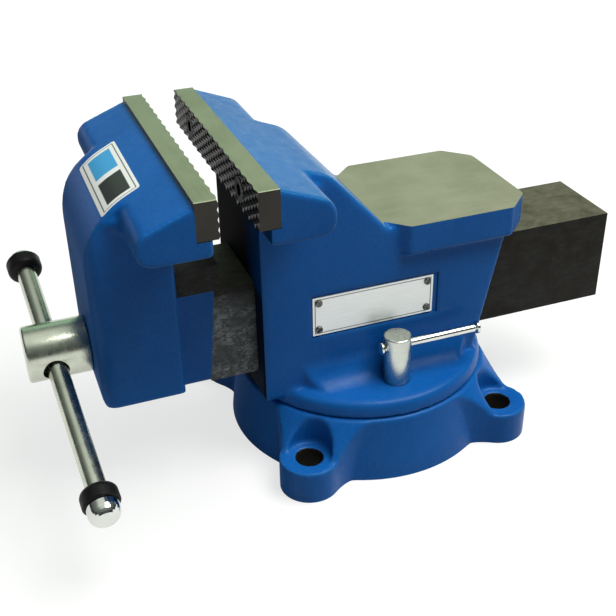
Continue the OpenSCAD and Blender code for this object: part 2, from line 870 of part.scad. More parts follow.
swivel_base();
vise_body();
fixed_jaw_plate();
fixed_jaw_screws();
main_nut();
nut_bolt();
nut_bolt_washer();
nameplate();
nameplate_rivets();
moving_jaw();
moving_jaw_plate();
moving_jaw_screws();
spring_washer();
lead_screw();
retract_spring();
screw_collar();
collar_pin();
handle_bar();
handle_ring_near();
handle_ring_far();
handle_cap_near();
handle_cap_far();
lock_bolt_right();
lock_lever_right();
lock_shoe_right();
lock_bolt_left();
lock_lever_left();
lock_shoe_left();
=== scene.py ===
"""Looks for the swivel bench vise: castings with cast edges, serrated jaw plates, a threaded
lead screw, blank nameplate and label, on a pale floor at the photograph's viewing angle."""

import math

import bmesh
import bpy
import numpy as np
from mathutils import Matrix, Vector
from mathutils.bvhtree import BVHTree


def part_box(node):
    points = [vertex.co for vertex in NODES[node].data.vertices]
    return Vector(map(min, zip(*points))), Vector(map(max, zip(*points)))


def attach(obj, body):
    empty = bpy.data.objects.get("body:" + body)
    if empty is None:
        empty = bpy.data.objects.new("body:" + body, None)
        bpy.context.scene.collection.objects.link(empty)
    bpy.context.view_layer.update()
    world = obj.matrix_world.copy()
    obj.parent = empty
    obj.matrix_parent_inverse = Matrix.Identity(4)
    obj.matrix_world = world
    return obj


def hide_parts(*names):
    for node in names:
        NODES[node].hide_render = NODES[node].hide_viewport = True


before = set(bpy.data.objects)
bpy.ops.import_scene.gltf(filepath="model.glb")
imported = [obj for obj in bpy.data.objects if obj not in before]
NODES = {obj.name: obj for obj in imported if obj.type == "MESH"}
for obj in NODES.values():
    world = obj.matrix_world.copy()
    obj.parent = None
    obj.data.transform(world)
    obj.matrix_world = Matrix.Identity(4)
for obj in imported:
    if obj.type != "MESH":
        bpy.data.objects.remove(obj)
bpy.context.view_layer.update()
MM = 0.001
X, Y, Z = 0, 1, 2

# Planes and sizes of the part, in millimetres
FIXED_SEAT = -71.0
FIXED_LEDGE = -76.3
FIXED_FACE = -82.0
MOVING_FACE = -99.5
MOVING_LEDGE = -102.6
MOVING_SEAT = -110.5
LEDGE_TOP = 163.4
PLATE_HALF = 75.0
PLATE_LOW = 163.5
PLATE_TOP = 183.0
PLATE_SCREW_X = 44.5
PLATE_SCREW_Z = 171.95
PLATE_BORE_R = 6.9
TAPPED_R = 4.6
TAPPED_DEPTH = 18.0
TOP_SLOPE = math.tan(math.radians(21))
ANVIL_FRONT = -2.3
ANVIL_TOP = 134.4
PAINT_END = -92.0
PAINT_LEAN = 0.09
STEP_FRONT = -113.4
STEP_CEILING = 130.0
BAR_TOP = 108.9
BAR_MILLED_FROM = -60.0
NOSE_LOW = 59.1
RIM_R = 66.5
RIM_LOW = 26.5
BOLT_CIRCLE_R = 84.0
BOLT_HOLE_R = 7.25
BOLT_TURN = 48.4
NAMEPLATE_BOX = (-43.0, 77.0, 27.0, 100.0)
LABEL_BOX = (-31.5, -144.6, 30.2, -124.6)
LABEL_SKEW = 4.5
SCREW_Z = 78.4
SCREW_REAR = 116.0
JOURNAL_END = -113.2

# Cast edges: voxel sizes in millimetres and rounds of smoothing
CAST_VOXEL = 1.1
BASE_VOXEL = 1.0
CAST_ROUNDS = 6
EAR_ROUNDS = 20
EAR_ROOT = ((30.0, -139.0, 136.0), (42.0, -122.0, 160.0))
EAR_FADE = 6.0

# How far machined faces are moved out before the casting is smoothed and cut back to them
ANVIL_RAISE = 5.0
UNDERSIDE_DROP = 4.0
PAINT_SPARE = 4.0

# Boxes that cut the castings back to their machined faces, and past the casting elsewhere
ANVIL_CUT = ((-60.0, ANVIL_FRONT - 0.5, ANVIL_TOP), (60.0, 100.0, 160.0))
FIXED_SEAT_CUT = ((-90.0, FIXED_SEAT - 30.0, LEDGE_TOP), (90.0, FIXED_SEAT, 200.0))
NAMEPLATE_CUT = ((36.8, -43.6, 76.0), (60.0, 30.2, 101.0))
MOVING_SEAT_CUT = ((-90.0, MOVING_SEAT, LEDGE_TOP), (90.0, MOVING_SEAT + 30.0, 200.0))
STEP_CUT = ((-40.0, STEP_FRONT, BAR_TOP), (40.0, PAINT_END + 20.0, STEP_CEILING))
NOSE_CUT = ((-60.0, -180.0, 30.0), (60.0, STEP_FRONT - 0.2, NOSE_LOW))
BASE_CUT = ((-150.0, -150.0, -20.0), (150.0, 150.0, 0.0))

# Lens, from the focal length in pixels of a square picture
FOCAL_PX = 1004.96
PICTURE_PX = 616
SENSOR_MM = 36.0


# Meshes


def new_object(name, mesh):
    obj = bpy.data.objects.new(name, mesh)
    bpy.context.scene.collection.objects.link(obj)
    return obj


def from_lists(name, verts, faces):
    """Object from points in millimetres and faces."""
    mesh = bpy.data.meshes.new(name)
    mesh.from_pydata([tuple(c * MM for c in v) for v in verts], [], [tuple(f) for f in faces])
    mesh.update()
    bm = bmesh.new()
    bm.from_mesh(mesh)
    bmesh.ops.recalc_face_normals(bm, faces=bm.faces)
    bm.to_mesh(mesh)
    bm.free()
    return new_object(name, mesh)


def box_lists(low, high):
    xs, ys, zs = zip(low, high)
    verts = [(x, y, z) for x in xs for y in ys for z in zs]
    faces = [(0, 1, 3, 2), (4, 6, 7, 5), (0, 4, 5, 1), (2, 3, 7, 6), (0, 2, 6, 4), (1, 5, 7, 3)]
    return verts, faces


def circle(sides):
    """Points of the unit circle."""
    angles = [2 * math.pi * i / sides for i in range(sides)]
    return [(math.cos(a), math.sin(a)) for a in angles]


def sweep(rings):
    """Closed tube through rings of points. Its last two faces are its ends."""
    verts = [p for ring in rings for p in ring]
    n = len(rings[0])
    faces = [
        (k * n + i, k * n + (i + 1) % n, (k + 1) * n + (i + 1) % n, (k + 1) * n + i)
        for k in range(len(rings) - 1)
        for i in range(n)
    ]
    faces += [tuple(range(n)), tuple(range((len(rings) - 1) * n, len(rings) * n))]
    return verts, faces


def joined(name, *parts):
    verts, faces = [], []
    for v, f in parts:
        start = len(verts)
        verts += v
        faces += [tuple(start + i for i in face) for face in f]
    return from_lists(name, verts, faces)


def grid_at(columns):
    """Finds a point's number in a grid from its column and row."""
    return lambda i, j: j * (columns + 1) + i


def grid_rim(columns, rows):
    """Numbers of the points along a grid's border, in order."""
    at = grid_at(columns)
    rim = [at(i, 0) for i in range(columns)]
    rim += [at(columns, j) for j in range(rows)]
    rim += [at(i, rows) for i in range(columns, 0, -1)]
    return rim + [at(0, j) for j in range(rows, 0, -1)]


def drop_object(obj):
    mesh = obj.data
    bpy.data.objects.remove(obj)
    bpy.data.meshes.remove(mesh)


def bake_modifiers(obj):
    """Puts the result of the object's modifiers into its mesh."""
    bpy.context.view_layer.update()
    graph = bpy.context.evaluated_depsgraph_get()
    mesh = bpy.data.meshes.new_from_object(obj.evaluated_get(graph))
    obj.modifiers.clear()
    old = obj.data
    obj.data = mesh
    bpy.data.meshes.remove(old)


def points_of(mesh):
    co = np.empty(len(mesh.vertices) * 3, np.float64)
    mesh.vertices.foreach_get("co", co)
    return co.reshape(-1, 3)


def set_points(mesh, co):
    mesh.vertices.foreach_set("co", co.astype(np.float32).ravel())
    mesh.update()


def relax(mesh, rounds, weight=None):
    """Rounds the mesh's edges by moving each point towards the middle of its neighbours."""
    co = points_of(mesh)
    ends = np.empty(len(mesh.edges) * 2, np.int64)
    mesh.edges.foreach_get("vertices", ends)
    a, b = ends.reshape(-1, 2).T
    count = len(co)
    degree = np.maximum(np.bincount(np.concatenate((a, b)), minlength=count), 1)[:, None]
    share = 0.5 if weight is None else 0.5 * weight(co / MM)[:, None]
    for _ in range(rounds):
        total = np.stack(
            [np.bincount(a, co[b, k], count) + np.bincount(b, co[a, k], count) for k in range(3)], 1
        )
        co += share * (total / degree - co)
    set_points(mesh, co)


def zone(low, high, fade):
    """Weight that is 1 in a box, given on the +X side and mirrored, and falls to 0 round it."""

    def weight(points):
        p = points.copy()
        p[:, X] = np.abs(p[:, X])
        outside = np.maximum(np.maximum(np.array(low) - p, p - np.array(high)), 0.0)
        return np.clip(1.0 - np.linalg.norm(outside, axis=1) / fade, 0.0, 1.0)

    return weight


def halve(obj, point, normal):
    """Cuts the mesh by a plane, drops what lies along the normal and closes the cut."""
    bm = bmesh.new()
    bm.from_mesh(obj.data)
    bmesh.ops.remove_doubles(bm, verts=bm.verts, dist=1e-6)
    bmesh.ops.bisect_plane(
        bm,
        geom=[*bm.verts, *bm.edges, *bm.faces],
        plane_co=Vector(point) * MM,
        plane_no=normal,
        clear_outer=True,
        dist=1e-7,
    )
    rim = [e for e in bm.edges if e.is_boundary]
    bmesh.ops.triangle_fill(bm, edges=rim, use_beauty=True, normal=normal)
    bmesh.ops.recalc_face_normals(bm, faces=bm.faces)
    bm.to_mesh(obj.data)
    bm.free()


def carve(obj, cutters):
    """Cuts boxes, as two corners in millimetres, or closed objects out of the mesh."""
    for cutter in cutters:
        is_object = isinstance(cutter, bpy.types.Object)
        tool = cutter if is_object else from_lists("tool", *box_lists(*cutter))
        mod = obj.modifiers.new("cut", "BOOLEAN")
        mod.operation = "DIFFERENCE"
        mod.solver = "MANIFOLD"
        mod.object = tool
        bake_modifiers(obj)
        drop_object(tool)


def soften_edges(obj, width, segments=2):
    mod = obj.modifiers.new("edge", "BEVEL")
    mod.width = width * MM
    mod.segments = segments
    mod.limit_method = "ANGLE"
    bake_modifiers(obj)


def shade(obj, angle=35):
    """Smooth faces with sharp edges where faces meet at more than the angle."""
    obj.data.shade_smooth()
    obj.data.set_sharp_from_angle(angle=math.radians(angle))


def face_table(mesh):
    """Middles in millimetres and normals of the mesh's faces."""
    count = len(mesh.polygons)
    middle, normal = np.empty(count * 3), np.empty(count * 3)
    mesh.polygons.foreach_get("center", middle)
    mesh.polygons.foreach_get("normal", normal)
    return middle.reshape(-1, 3) / MM, normal.reshape(-1, 3)


def flat_faces(obj, test):
    """Takes smooth shading off the faces whose middle and normal pass the test."""
    smooth = ~test(*face_table(obj.data))
    obj.data.polygons.foreach_set("use_smooth", smooth)
    obj.data.update()


def face_material(obj, test, index):
    """Gives another of its materials to the faces whose middle and normal pass the test."""
    mesh = obj.data
    old = np.zeros(len(mesh.polygons), np.int32)
    mesh.polygons.foreach_get("material_index", old)
    new = np.where(test(*face_table(mesh)), index, old).astype(np.int32)
    mesh.polygons.foreach_set("material_index", new)
    mesh.update()


def node_copy(name, node):
    """New object from a CAD node's mesh, with its points joined."""
    mesh = NODES[node].data.copy()
    mesh.materials.clear()
    obj = new_object(name, mesh)
    bm = bmesh.new()
    bm.from_mesh(mesh)
    bmesh.ops.remove_doubles(bm, verts=bm.verts, dist=1e-6)
    bm.to_mesh(mesh)
    bm.free()
    return obj


def place(obj, body, slot, *materials, replaces=()):
    """Gives a finished piece its materials and body, and hides the nodes that it stands for.
    The slot argument is not used.
    """
    obj.data.materials.clear()
    for m in materials:
        obj.data.materials.append(m)
    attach(obj, body)
    if replaces:
        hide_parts(*replaces)
    return obj


# Materials


class Shader:
    """A node material built around one Principled shader."""

    def __init__(self, name):
        self.material = bpy.data.materials.new(name)
        self.material.use_nodes = True
        self.tree = self.material.node_tree
        self.bsdf = self.tree.nodes["Principled BSDF"]
        self.points = self.tree.nodes.new("ShaderNodeTexCoord").outputs
        self.coords = self.points["Object"]

    def new(self, kind, **values):
        node = self.tree.nodes.new(kind)
        for key, value in values.items():
            setattr(node, key, value)
        return node

    def link(self, source, target):
        self.tree.links.new(source, target)

    def put(self, socket, value):
        """Links a node's output to a socket, or sets the socket to a constant."""
        if isinstance(value, bpy.types.NodeSocket):
            self.link(value, socket)
        else:
            socket.default_value = value

    def stretched(self, scale):
        node = self.new("ShaderNodeMapping")
        node.inputs["Scale"].default_value = scale
        self.link(self.coords, node.inputs["Vector"])
        return node.outputs["Vector"]

    def noise(self, size, detail=2.0, rough=0.5, along=None, distort=0.0):
        """Noise whose features are about size millimetres across."""
        node = self.new("ShaderNodeTexNoise")
        node.inputs["Scale"].default_value = 1.0 / (size * MM)
        node.inputs["Detail"].default_value = detail
        node.inputs["Roughness"].default_value = rough
        node.inputs["Distortion"].default_value = distort
        self.link(self.stretched(along) if along else self.coords, node.inputs["Vector"])
        return node.outputs["Fac"]

    def ramp(self, value, low, high, to_low=0.0, to_high=1.0):
        node = self.new("ShaderNodeMapRange")
        self.put(node.inputs["Value"], value)
        node.inputs["From Min"].default_value = low
        node.inputs["From Max"].default_value = high
        node.inputs["To Min"].default_value = to_low
        node.inputs["To Max"].default_value = to_high
        return node.outputs["Result"]

    def mix(self, share, first, second):
        node = self.new("ShaderNodeMix", data_type="RGBA")
        self.put(node.inputs[0], share)
        for socket, colour in ((node.inputs[6], first), (node.inputs[7], second)):
            self.put(socket, (*colour, 1.0) if isinstance(colour, tuple) else colour)
        return node.outputs[2]

    def math(self, operation, first, second=0.0):
        node = self.new("ShaderNodeMath", operation=operation)
        self.put(node.inputs[0], first)
        self.put(node.inputs[1], second)
        return node.outputs[0]

    def times(self, first, second):
        return self.math("MULTIPLY", first, second)

    def part(self, vector, letter):
        node = self.new("ShaderNodeSeparateXYZ")
        self.link(vector, node.inputs[0])
        return node.outputs[letter]

    def axis(self, letter):
        """One coordinate, in millimetres."""
        return self.times(self.part(self.coords, letter), 1.0 / MM)

    def facing(self, letter):
        """One component of the surface's normal."""
        return self.part(self.points["Normal"], letter)

    def bump(self, height, distance, strength=1.0, below=None):
        node = self.new("ShaderNodeBump")
        node.inputs["Strength"].default_value = strength
        node.inputs["Distance"].default_value = distance * MM
        self.put(node.inputs["Height"], height)
        if below is not None:
            self.link(below, node.inputs["Normal"])
        return node.outputs["Normal"]

    def set(self, **values):
        for key, value in values.items():
            is_colour = isinstance(value, tuple) and len(value) == 3
            socket = self.bsdf.inputs[key.replace("_", " ")]
            self.put(socket, (*value, 1.0) if is_colour else value)
        return self


def paint_material():
    """Thick glossy paint over a cast skin: painted highlights on its edges, duller on faces towards
    the front, and a painted teal sheen on the fixed jaw's slope towards the rear."""
    s = Shader("paint")
    wide = s.noise(55, 3)
    grain = s.noise(1.4, 2, 0.55)
    colour = s.mix(s.ramp(wide, 0.3, 0.7), (0.004, 0.098, 0.38), (0.009, 0.126, 0.46))
    colour = s.mix(s.ramp(grain, 0.4, 0.75, 0.0, 0.45), colour, (0.003, 0.070, 0.28))
    # Painted highlight: rounded edges, found by their pointiness, are mixed towards a lighter blue.
    edge = s.new("ShaderNodeNewGeometry").outputs["Pointiness"]
    colour = s.mix(s.ramp(edge, 0.51, 0.58, 0.0, 0.5), colour, (0.03, 0.19, 0.44))
    # Painted sheen: faces on the fixed jaw's rear slope that look up and back are mixed towards a
    # paler teal.
    painted_sheen = s.times(s.ramp(s.facing("Y"), 0.15, 0.4, 0.0, 0.3), s.ramp(s.facing("Z"), 0.4, 0.65))
    painted_sheen = s.times(painted_sheen, s.ramp(s.axis("Z"), 110.0, 130.0))
    colour = s.mix(painted_sheen, colour, (0.012, 0.16, 0.24))
    skin = s.bump(grain, 0.14, 0.4)
    skin = s.bump(s.noise(4.5, 2), 0.28, 0.3, skin)
    dull = s.ramp(s.facing("Y"), -0.95, -0.5, 0.72, 0.0)
    s.set(
        Base_Color=colour,
        Roughness=s.math("MAXIMUM", dull, s.ramp(s.noise(6, 2), 0.3, 0.7, 0.26, 0.38)),
        Normal=skin,
        Specular_IOR_Level=0.12,
    )
    return s.material


def gap_shade_material():
    """Painted shade on the wall between the jaws: dull paint coloured near black, lighter towards
    its near edge.
    """
    s = Shader("gap_painted_shade")
    grain = s.noise(3.0, 3, 0.6)
    edge = s.times(s.ramp(s.axis("X"), 12.0, 36.0), s.ramp(s.axis("Z"), 104.0, 112.0, 0.15, 1.0))
    colour = s.mix(s.ramp(grain, 0.3, 0.7), (0.002, 0.002, 0.003), (0.005, 0.005, 0.006))
    s.set(
        Base_Color=s.mix(edge, colour, (0.002, 0.05, 0.17)),
        Roughness=0.8,
        Normal=s.bump(grain, 0.1, 0.3),
        Specular_IOR_Level=0.02,
    )
    return s.material


def iron_material(name, dark, light, stain, worn):
    """Machined cast iron, dark with oil and handling marks, rubbed brighter at its front end."""
    s = Shader(name)
    lengthwise = s.noise(3.5, 4, 0.6, along=(1.0, 0.35, 1.0))
    blotch = s.noise(17, 5, 0.65, distort=0.8)
    spots = s.noise(5, 3, 0.6)
    colour = s.mix(s.ramp(lengthwise, 0.3, 0.75), dark, light)
    colour = s.mix(s.ramp(blotch, 0.46, 0.68, 0.0, 0.8), colour, stain)
    colour = s.mix(s.ramp(spots, 0.55, 0.8, 0.0, 0.5), colour, light)
    scuffs = s.ramp(s.noise(2.0, 5, 0.7, along=(1.0, 0.6, 1.0), distort=1.0), 0.42, 0.72)
    rubbed = s.times(scuffs, s.ramp(s.noise(12, 3, 0.6), 0.42, 0.60, 0.1, 1.0))
    rubbed = s.ramp(rubbed, 0.0, 1.0, 0.15, 1.0)
    rubbed = s.times(rubbed, s.ramp(s.axis("Y"), -72.0, -64.0, 1.0, 0.0))
    rubbed = s.times(rubbed, s.ramp(s.axis("Z"), 100.0, 106.0, 1.0, 0.1))
    s.set(
        Base_Color=s.mix(rubbed, colour, worn),
        Metallic=0.1,
        Roughness=s.ramp(blotch, 0.3, 0.7, 0.42, 0.60),
        Normal=s.bump(lengthwise, 0.05, 0.4),
        Specular_IOR_Level=0.1,
    )
    return s.material


def ground_material(name, across, dark, light, metal=0.6):
    """Ground steel with fine grinding lines."""
    s = Shader(name)
    lines = s.noise(1.2, 3, 0.6, along=across)
    cloud = s.noise(28, 4, 0.55)
    colour = s.mix(s.ramp(cloud, 0.3, 0.7), dark, light)
    pale = tuple(1.25 * c for c in light)
    s.set(
        Base_Color=s.mix(s.ramp(lines, 0.35, 0.8, 0.0, 0.35), colour, pale),
        Metallic=metal,
        Roughness=s.ramp(lines, 0.3, 0.7, 0.38, 0.52),
        Normal=s.bump(lines, 0.015, 0.3),
        Specular_IOR_Level=0.3,
    )
    return s.material


def bright_material(name, colour, rough, size=1.0, depth=0.004):
    """Plated steel with faint marks in its polish."""
    s = Shader(name)
    marks = s.noise(size, 3, 0.6)
    cloud = s.noise(14, 2)
    dull = tuple(0.75 * c for c in colour)
    s.set(
        Base_Color=s.mix(s.ramp(cloud, 0.35, 0.75, 0.0, 0.7), colour, dull),
        Metallic=1.0,
        Roughness=s.ramp(marks, 0.3, 0.75, rough, rough * 1.6),
        Normal=s.bump(marks, depth, 0.3),
    )
    return s.material


def rubber_material():
    s = Shader("rubber")
    grain = s.noise(0.9, 2)
    s.set(
        Base_Color=s.mix(s.ramp(grain, 0.3, 0.7), (0.004, 0.004, 0.004), (0.010, 0.010, 0.010)),
        Roughness=s.ramp(s.noise(5, 2), 0.3, 0.7, 0.38, 0.55),
        Normal=s.bump(grain, 0.05, 0.4),
        Specular_IOR_Level=0.15,
    )
    return s.material


def inside(s, value, low, high, soft):
    rise = s.ramp(value, low - soft, low + soft)
    fall = s.ramp(value, high - soft, high + soft, 1.0, 0.0)
    return s.times(rise, fall)


def panel(s, u, v, box, soft=0.2):
    """Share of 1 inside a rectangle on the surface, in millimetres."""
    left, low, right, high = box
    return s.times(inside(s, u, left, right, soft), inside(s, v, low, high, soft))


def shrunk(box, by):
    left, low, right, high = box
    return left + by, low + by, right - by, high - by


def border(s, u, v, box, inset, width, soft=0.12):
    """Share of 1 on a thin line that runs round inside a rectangle."""
    outer = panel(s, u, v, shrunk(box, inset), soft)
    inner = panel(s, u, v, shrunk(box, inset + width), soft)
    return s.math("SUBTRACT", outer, inner)


def nameplate_material():
    """Satin plate, brushed along its length, with a plain thin border line."""
    s = Shader("plate_label")
    brush = s.noise(0.8, 3, 0.6, along=(1.0, 0.05, 1.0))
    colour = s.mix(s.ramp(brush, 0.3, 0.7), (0.74, 0.77, 0.76), (0.86, 0.88, 0.87))
    line = border(s, s.axis("Y"), s.axis("Z"), NAMEPLATE_BOX, 1.1, 0.45)
    s.set(
        Base_Color=s.mix(line, colour, (0.06, 0.06, 0.06)),
        Metallic=0.7,
        Roughness=s.ramp(brush, 0.3, 0.7, 0.40, 0.52),
        Normal=s.bump(brush, 0.015, 0.3),
    )
    return s.material


def label_material(side=4.5, end=4.0, half_gap=2.5):
    """White paper label with a thin border line, a plain blue panel and a plain dark panel."""
    s = Shader("label")
    left, front, right, rear = LABEL_BOX
    y = s.axis("Y")
    x = s.math("ADD", s.axis("X"), s.ramp(y, front, rear, -LABEL_SKEW, 0.0))
    middle = 0.5 * (left + right)
    fibre = s.noise(1.5, 2)
    colour = s.mix(s.ramp(fibre, 0.3, 0.7), (0.88, 0.88, 0.87), (0.93, 0.93, 0.92))
    colour = s.mix(border(s, x, y, LABEL_BOX, 1.5, 0.5), colour, (0.05, 0.05, 0.055))
    blue = panel(s, x, y, (left + side, front + end, middle - half_gap, rear - end))
    dark = panel(s, x, y, (middle + half_gap, front + end, right - side, rear - end))
    colour = s.mix(blue, colour, (0.045, 0.36, 0.72))
    colour = s.mix(dark, colour, (0.02, 0.02, 0.022))
    s.set(Base_Color=colour, Roughness=0.35, Normal=s.bump(fibre, 0.01, 0.3))
    return s.material


PAINT = paint_material()
GAP_SHADE = gap_shade_material()
IRON = iron_material(
    "bare_iron",
    dark=(0.010, 0.0095, 0.008),
    light=(0.027, 0.025, 0.021),
    stain=(0.013, 0.009, 0.006),
    worn=(0.42, 0.45, 0.48),
)
MILLED_IRON = iron_material(
    "milled_iron",
    dark=(0.080, 0.078, 0.052),
    light=(0.142, 0.138, 0.095),
    stain=(0.056, 0.048, 0.031),
    worn=(0.20, 0.20, 0.17),
)
BLACK = iron_material(
    "blackened_steel",
    dark=(0.004, 0.004, 0.004),
    light=(0.010, 0.010, 0.009),
    stain=(0.005, 0.004, 0.003),
    worn=(0.010, 0.010, 0.010),
)
ANVIL_STEEL = ground_material(
    "anvil_face", (1.0, 0.06, 1.0), dark=(0.305, 0.30, 0.20), light=(0.40, 0.39, 0.28)
)
PLATE_STEEL = ground_material(
    "plate_steel", (0.06, 1.0, 1.0), dark=(0.235, 0.27, 0.168), light=(0.32, 0.355, 0.235)
)
# Painted shade: the jaw plates' ends, back and underside are coloured near black for the shade on
# them.
PLATE_SIDE_SHADE = ground_material(
    "plate_side_painted_shade",
    (1.0, 1.0, 1.0),
    dark=(0.022, 0.020, 0.016),
    light=(0.040, 0.036, 0.029),
    metal=0.3,
)
SERRATED = ground_material(
    "serrated_steel",
    (1.0, 1.0, 1.0),
    dark=(0.018, 0.0175, 0.0155),
    light=(0.055, 0.053, 0.047),
    metal=0.8,
)
CHROME = bright_material("bright_steel", (0.70, 0.72, 0.68), 0.09, 2.0, 0.0015)
SATIN = bright_material("satin_steel", (0.60, 0.63, 0.53), 0.20, 4.0, 0.0005)
ZINC = bright_material("zinc", (0.60, 0.63, 0.57), 0.20, 4.0, 0.0005)
SPRING = bright_material("spring_steel", (0.14, 0.14, 0.13), 0.34)
RUBBER = rubber_material()
NAMEPLATE = nameplate_material()
LABEL = label_material()


# Castings


def stretch(obj, axis, plane, by, where):
    """Moves a machined face's points out, so that its edges stay crisp when it is cut back."""
    co = points_of(obj.data) / MM
    on = (np.abs(co[:, axis] - plane) < 0.02) & where(co)
    co[on, axis] += by
    set_points(obj.data, co * MM)


def lift_edge(obj, plane, by):
    """Raises a jaw's top edge along its slope, after its seat is moved out by the distance."""
    co = points_of(obj.data) / MM
    on = (np.abs(co[:, Y] - plane) < 0.02) & (co[:, Z] > PLATE_TOP - 6)
    co[on, Z] += by * TOP_SLOPE
    set_points(obj.data, co * MM)


def plug_holes(obj, seat, inward):
    """Closes the tapped holes behind a jaw plate, which come too near the skin to cast."""
    bm = bmesh.new()
    bm.from_mesh(obj.data)
    deep = []
    for v in bm.verts:
        x, y, z = v.co / MM
        in_bore = math.hypot(abs(x) - PLATE_SCREW_X, z - PLATE_SCREW_Z) < TAPPED_R
        if in_bore and 0.05 < (y - seat) * inward < TAPPED_DEPTH:
            deep.append(v)
    bmesh.ops.delete(bm, geom=deep, context="VERTS")
    bmesh.ops.holes_fill(bm, edges=[e for e in bm.edges if e.is_boundary], sides=0)
    bmesh.ops.triangulate(bm, faces=[f for f in bm.faces if len(f.verts) > 4])
    bm.to_mesh(obj.data)
    bm.free()


def cast_form(obj, voxel):
    """Turns sharp CAD edges into cast ones."""
    mod = obj.modifiers.new("cast", "REMESH")
    mod.mode = "VOXEL"
    mod.voxel_size = voxel * MM
    mod.use_smooth_shade = True
    bake_modifiers(obj)
    relax(obj.data, CAST_ROUNDS)


def on_anvil(p, n):
    return (n[:, Z] > 0.99) & (np.abs(p[:, Z] - ANVIL_TOP) < 0.05)


def in_gap(p, n):
    return (n[:, Y] < -0.7) & (p[:, Y] < FIXED_SEAT + 2) & (p[:, Z] < LEDGE_TOP)


def above_ledge(p):
    return p[:, Z] > LEDGE_TOP - 0.1


def build_body():
    obj = node_copy("body_casting", "vise_body")
    plug_holes(obj, FIXED_SEAT, 1)
    stretch(obj, Z, ANVIL_TOP, ANVIL_RAISE, lambda p: p[:, Y] > ANVIL_FRONT + 1.0)
    stretch(obj, Y, FIXED_SEAT, FIXED_LEDGE - FIXED_SEAT, above_ledge)
    lift_edge(obj, FIXED_LEDGE, FIXED_SEAT - FIXED_LEDGE)
    cast_form(obj, CAST_VOXEL)
    carve(obj, [ANVIL_CUT, FIXED_SEAT_CUT, NAMEPLATE_CUT])
    shade(obj)
    flat_faces(obj, on_anvil)
    place(obj, "body", "paint", PAINT, ANVIL_STEEL, GAP_SHADE, replaces=["vise_body"])
    face_material(obj, on_anvil, 1)
    # The wall between the jaws gets the painted shade.
    face_material(obj, in_gap, 2)


def build_jaw():
    obj = node_copy("jaw_casting", "moving_jaw")
    plug_holes(obj, MOVING_SEAT, -1)
    stretch(obj, Y, MOVING_SEAT, MOVING_LEDGE - MOVING_SEAT, above_ledge)
    lift_edge(obj, MOVING_LEDGE, MOVING_LEDGE - MOVING_SEAT)
    stretch(obj, Z, NOSE_LOW, -UNDERSIDE_DROP, lambda p: p[:, Y] < STEP_FRONT)
    halve(obj, (0, PAINT_END + PAINT_SPARE, 0), (0, 1, 0))
    cast_form(obj, CAST_VOXEL)
    relax(obj.data, EAR_ROUNDS, zone(*EAR_ROOT, EAR_FADE))
    carve(obj, [MOVING_SEAT_CUT, STEP_CUT, NOSE_CUT])
    halve(obj, (0, PAINT_END, BAR_TOP), (0, 1, -PAINT_LEAN))
    shade(obj)
    place(obj, "jaw", "paint", PAINT, replaces=["moving_jaw"])
    return obj


def build_bar():
    """Bare slide bar, from where the paint ends to its rear."""
    obj = node_copy("slide_bar", "moving_jaw")
    halve(obj, (0, PAINT_END - 0.1, BAR_TOP), (0, -1, PAINT_LEAN))
    halve(obj, (0, 0, BAR_TOP + 0.02), (0, 0, 1))
    soften_edges(obj, 0.7)
    shade(obj)
    place(obj, "jaw", "bare_iron", IRON, MILLED_IRON)
    face_material(obj, lambda p, n: (n[:, Z] > 0.9) & (p[:, Y] > BAR_MILLED_FROM), 1)


def build_step():
    """Bare block on the root of the bar, under the gap between the jaws."""
    obj = node_copy("bar_step", "moving_jaw")
    halve(obj, (0, 0, BAR_TOP + 0.01), (0, 0, -1))
    halve(obj, (0, STEP_FRONT, 0), (0, -1, 0))
    halve(obj, (0, 0, STEP_CEILING), (0, 0, 1))
    soften_edges(obj, 0.8)
    shade(obj)
    place(obj, "jaw", "bare_iron", IRON)


def drum(radius, low, high, sides=192):
    """Closed cylinder round the swivel axis."""
    rings = [[(radius * c, radius * s, z) for c, s in circle(sides)] for z in (low, high)]
    return from_lists("drum", *sweep(rings))


def in_bolt_hole(quarter):
    """Test for the faces of one of the base's four bolt holes."""
    turn = math.radians(BOLT_TURN + 90 * quarter)
    axis = BOLT_CIRCLE_R * np.array((math.cos(turn), math.sin(turn)))

    def test(p, n):
        away = np.linalg.norm(p[:, :2] - axis, axis=1)
        return (away < BOLT_HOLE_R + 0.5) & (n[:, Z] < 0.6)

    return test


def build_base():
    obj = node_copy("base_casting", "swivel_base")
    stretch(obj, Z, 0.0, -UNDERSIDE_DROP, lambda p: p[:, Z] < 1.0)
    cast_form(obj, BASE_VOXEL)
    carve(obj, [BASE_CUT, drum(RIM_R, -1.0, RIM_LOW)])
    shade(obj)
    flat_faces(obj, lambda p, n: n[:, Z] < -0.99)
    place(obj, "base", "paint", PAINT, IRON, replaces=["swivel_base"])
    for quarter in range(4):
        face_material(obj, in_bolt_hole(quarter), 1)


# Jaw plates


def bore(x, y_from, y_to, sides=48):
    """Closed cylinder along Y, for cutting a plate screw's hole."""
    ring = [(x + PLATE_BORE_R * c, PLATE_SCREW_Z + PLATE_BORE_R * s) for c, s in circle(sides)]
    return from_lists("bore", *sweep([[(u, y, v) for u, v in ring] for y in (y_from, y_to)]))


def round_corners(obj, width=0.9):
    """Takes the sharpness off a jaw plate's four long corners at its ends."""
    middle, reach = 0.5 * (PLATE_LOW + PLATE_TOP), 0.5 * (PLATE_TOP - PLATE_LOW)

    def at_corner(v):
        at_end = abs(v.co.x) / MM > PLATE_HALF - 0.01
        return at_end and abs(v.co.z / MM - middle) > reach - 0.01

    bm = bmesh.new()
    bm.from_mesh(obj.data)
    edges = [e for e in bm.edges if all(at_corner(v) for v in e.verts)]
    bmesh.ops.bevel(bm, geom=edges, offset=width * MM, segments=2, profile=0.5, affect="EDGES")
    bm.to_mesh(obj.data)
    bm.free()


